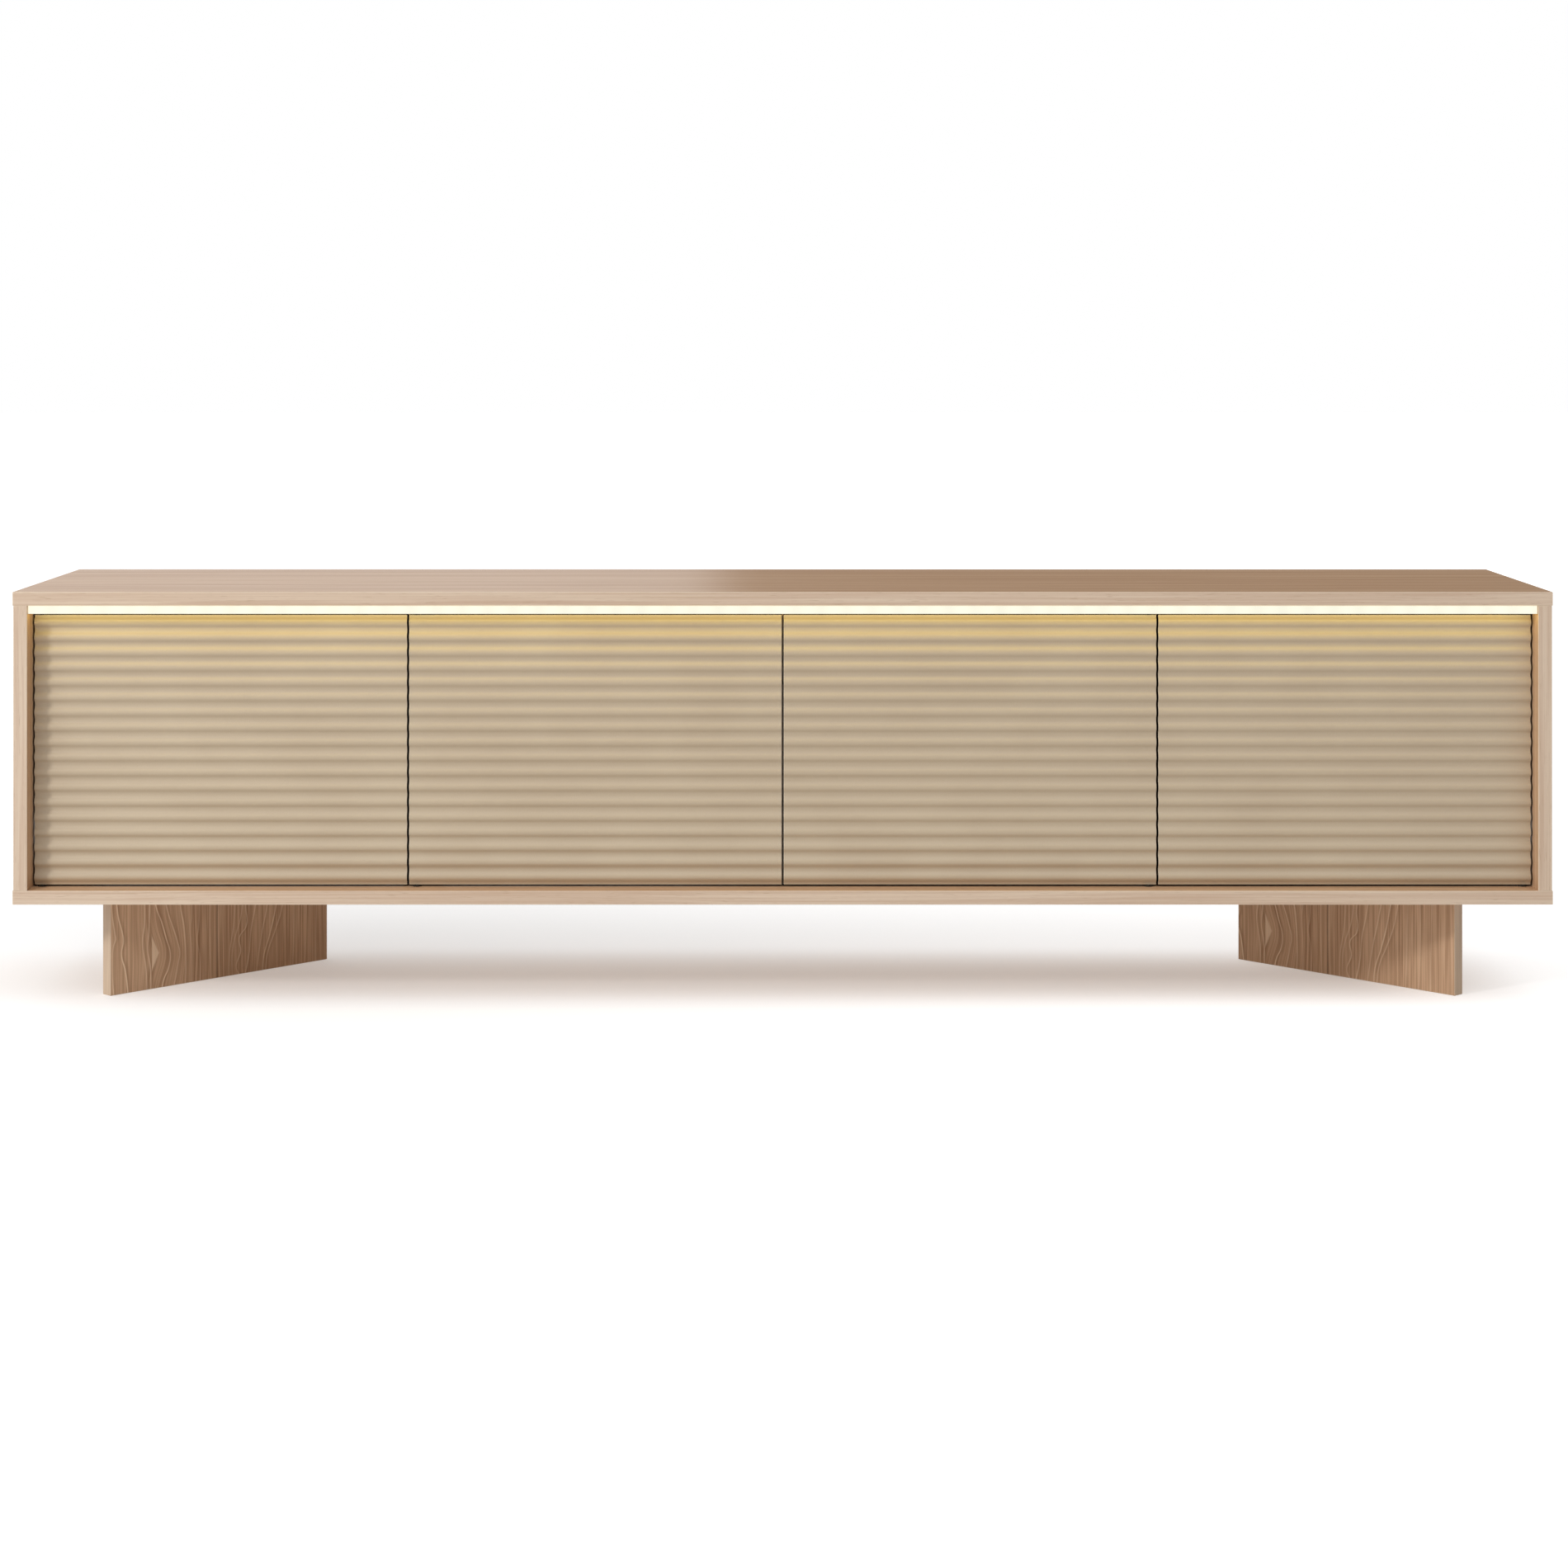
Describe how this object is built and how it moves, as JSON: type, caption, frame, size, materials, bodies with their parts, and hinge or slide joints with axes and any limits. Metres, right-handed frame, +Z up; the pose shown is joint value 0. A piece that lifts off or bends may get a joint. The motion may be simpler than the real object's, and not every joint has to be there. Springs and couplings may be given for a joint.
{
  "type": "media cabinet",
  "caption": "Low media cabinet with wave-faced push-to-open doors, a light bar under the front edge of the top and angled slab legs.",
  "frame": {"origin": "on the floor, under the middle of the cabinet's outer box", "axes": "+X to the right along the length, +Y to the back (the doors face -Y), +Z up"},
  "size_m": [2, 0.4, 0.54],
  "materials": {
    "board_along": "wood-grain laminate, grain along X, satin",
    "board_upright": "wood-grain laminate, grain upright, satin",
    "leg_wood": "figured veneer, grain upright, satin",
    "back_sheet": "thin fibreboard, printed face",
    "back_strip": "extruded strip",
    "screw_steel": "zinc-plated steel",
    "zinc": "die-cast, nickel-plated",
    "cap_plastic": "moulded, wood-coloured",
    "beech": "plain beech",
    "nickel": "nickel-plated steel",
    "black_steel": "black oxide",
    "brass": "turned brass",
    "nylon": "natural nylon",
    "latch_plastic": "moulded, grey",
    "opal": "opal diffuser, lit warm white",
    "aluminium_rail": "anodised extrusion",
    "lamp_board": "white circuit strip with lamps",
    "lead_sheath": "white two-core lead",
    "driver_plastic": "white moulded case",
    "door_lacquer": "lacquered fibreboard, warm grey-beige, satin",
    "clear_rubber": "clear soft pad",
    "plunger_plastic": "acetal with a magnet end"
  },
  "bodies": {
    "carcass": {"top_panel": "board_along", "bottom_panel": "board_along", "left_side_panel": "board_upright", "right_side_panel": "board_upright", "left_partition": "board_upright", "centre_partition": "board_upright", "right_partition": "board_upright", "left_leg": "leg_wood", "right_leg": "leg_wood", "left_back_panel": "back_sheet", "right_back_panel": "back_sheet", "back_joint_strip": "back_strip", "short_screws": "screw_steel", "cam_locks": "zinc", "cam_caps": "cap_plastic", "cam_bolts": "screw_steel", "dowels": "beech", "shelf_pins": "nickel", "leg_bolts": "black_steel", "leg_inserts": "brass", "pivot_bushes": "nylon", "pivot_housings": "zinc", "housing_screws": "screw_steel", "latch_housings": "latch_plastic", "light_cover": "opal", "light_rail": "aluminium_rail", "lamp_strip": "lamp_board", "light_end_caps": "cap_plastic", "light_lead": "lead_sheath", "lead_clips": "nylon", "light_driver": "driver_plastic", "driver_inlet": "driver_plastic", "shelf_1": "board_along", "shelf_2": "board_along", "shelf_3": "board_along", "shelf_4": "board_along"},
    "door_1": {"door_1_panel": "door_lacquer", "door_1_pivots": "zinc", "door_1_screws": "screw_steel", "door_1_catch": "nickel", "door_1_bumpers": "clear_rubber"},
    "plunger_1": {"latch_1_plunger": "plunger_plastic"},
    "door_2": {"door_2_panel": "door_lacquer", "door_2_pivots": "zinc", "door_2_screws": "screw_steel", "door_2_catch": "nickel", "door_2_bumpers": "clear_rubber"},
    "plunger_2": {"latch_2_plunger": "plunger_plastic"},
    "door_3": {"door_3_panel": "door_lacquer", "door_3_pivots": "zinc", "door_3_screws": "screw_steel", "door_3_catch": "nickel", "door_3_bumpers": "clear_rubber"},
    "plunger_3": {"latch_3_plunger": "plunger_plastic"},
    "door_4": {"door_4_panel": "door_lacquer", "door_4_pivots": "zinc", "door_4_screws": "screw_steel", "door_4_catch": "nickel", "door_4_bumpers": "clear_rubber"},
    "plunger_4": {"latch_4_plunger": "plunger_plastic"}
  },
  "joints": [
    {"name": "door_1_hinge", "type": "hinge", "parent": "carcass", "child": "door_1", "pos_m": [-0.9688, -0.164, 0.331], "axis": [0, 0, -1], "range_deg": [0, 90]},
    {"name": "door_2_hinge", "type": "hinge", "parent": "carcass", "child": "door_2", "pos_m": [-0.47885, -0.164, 0.331], "axis": [0, 0, -1], "range_deg": [0, 90]},
    {"name": "door_3_hinge", "type": "hinge", "parent": "carcass", "child": "door_3", "pos_m": [0.47885, -0.164, 0.331], "axis": [0, 0, 1], "range_deg": [0, 90]},
    {"name": "door_4_hinge", "type": "hinge", "parent": "carcass", "child": "door_4", "pos_m": [0.9688, -0.164, 0.331], "axis": [0, 0, 1], "range_deg": [0, 90]},
    {"name": "latch_1_push", "type": "slide", "parent": "carcass", "child": "plunger_1", "axis": [0, 1, 0], "range_m": [0, 0.003], "stiffness_N_per_m": 150},
    {"name": "latch_2_push", "type": "slide", "parent": "carcass", "child": "plunger_2", "axis": [0, 1, 0], "range_m": [0, 0.003], "stiffness_N_per_m": 150},
    {"name": "latch_3_push", "type": "slide", "parent": "carcass", "child": "plunger_3", "axis": [0, 1, 0], "range_m": [0, 0.003], "stiffness_N_per_m": 150},
    {"name": "latch_4_push", "type": "slide", "parent": "carcass", "child": "plunger_4", "axis": [0, 1, 0], "range_m": [0, 0.003], "stiffness_N_per_m": 150}
  ]
}
